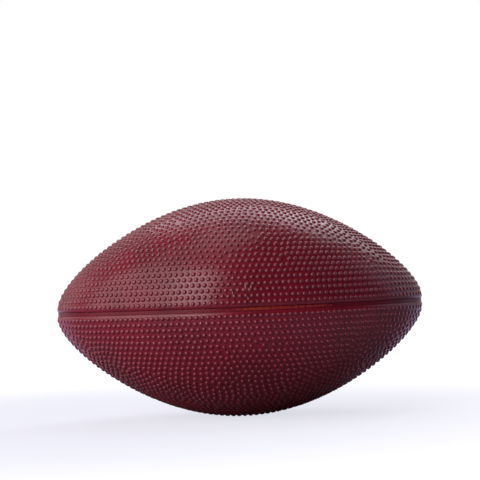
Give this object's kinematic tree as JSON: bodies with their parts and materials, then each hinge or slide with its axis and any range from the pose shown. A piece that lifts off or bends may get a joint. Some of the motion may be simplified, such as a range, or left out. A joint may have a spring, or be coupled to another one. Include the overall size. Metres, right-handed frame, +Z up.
{
  "type": "foam ball",
  "caption": "Pointed football-shaped foam ball: a foam core in a skin of pebbled panels, with smooth seam strips sunk between them.",
  "frame": {"origin": "the middle of the ball, halfway between its tips on its long axis", "axes": "+X along the long axis from tip to tip, +Z up, -Y the front, where a seam runs along the side at mid height"},
  "size_m": [0.1696, 0.1008, 0.1008],
  "materials": {
    "core_foam": "matte",
    "pebbled_skin": "satin",
    "seam_strip": "gloss"
  },
  "bodies": {
    "root": {"foam_core": "core_foam", "upper_front_panel": "pebbled_skin", "upper_rear_panel": "pebbled_skin", "lower_front_panel": "pebbled_skin", "lower_rear_panel": "pebbled_skin", "front_seam_strip": "seam_strip", "rear_seam_strip": "seam_strip", "top_seam_strip": "seam_strip", "bottom_seam_strip": "seam_strip"}
  },
  "joints": []
}
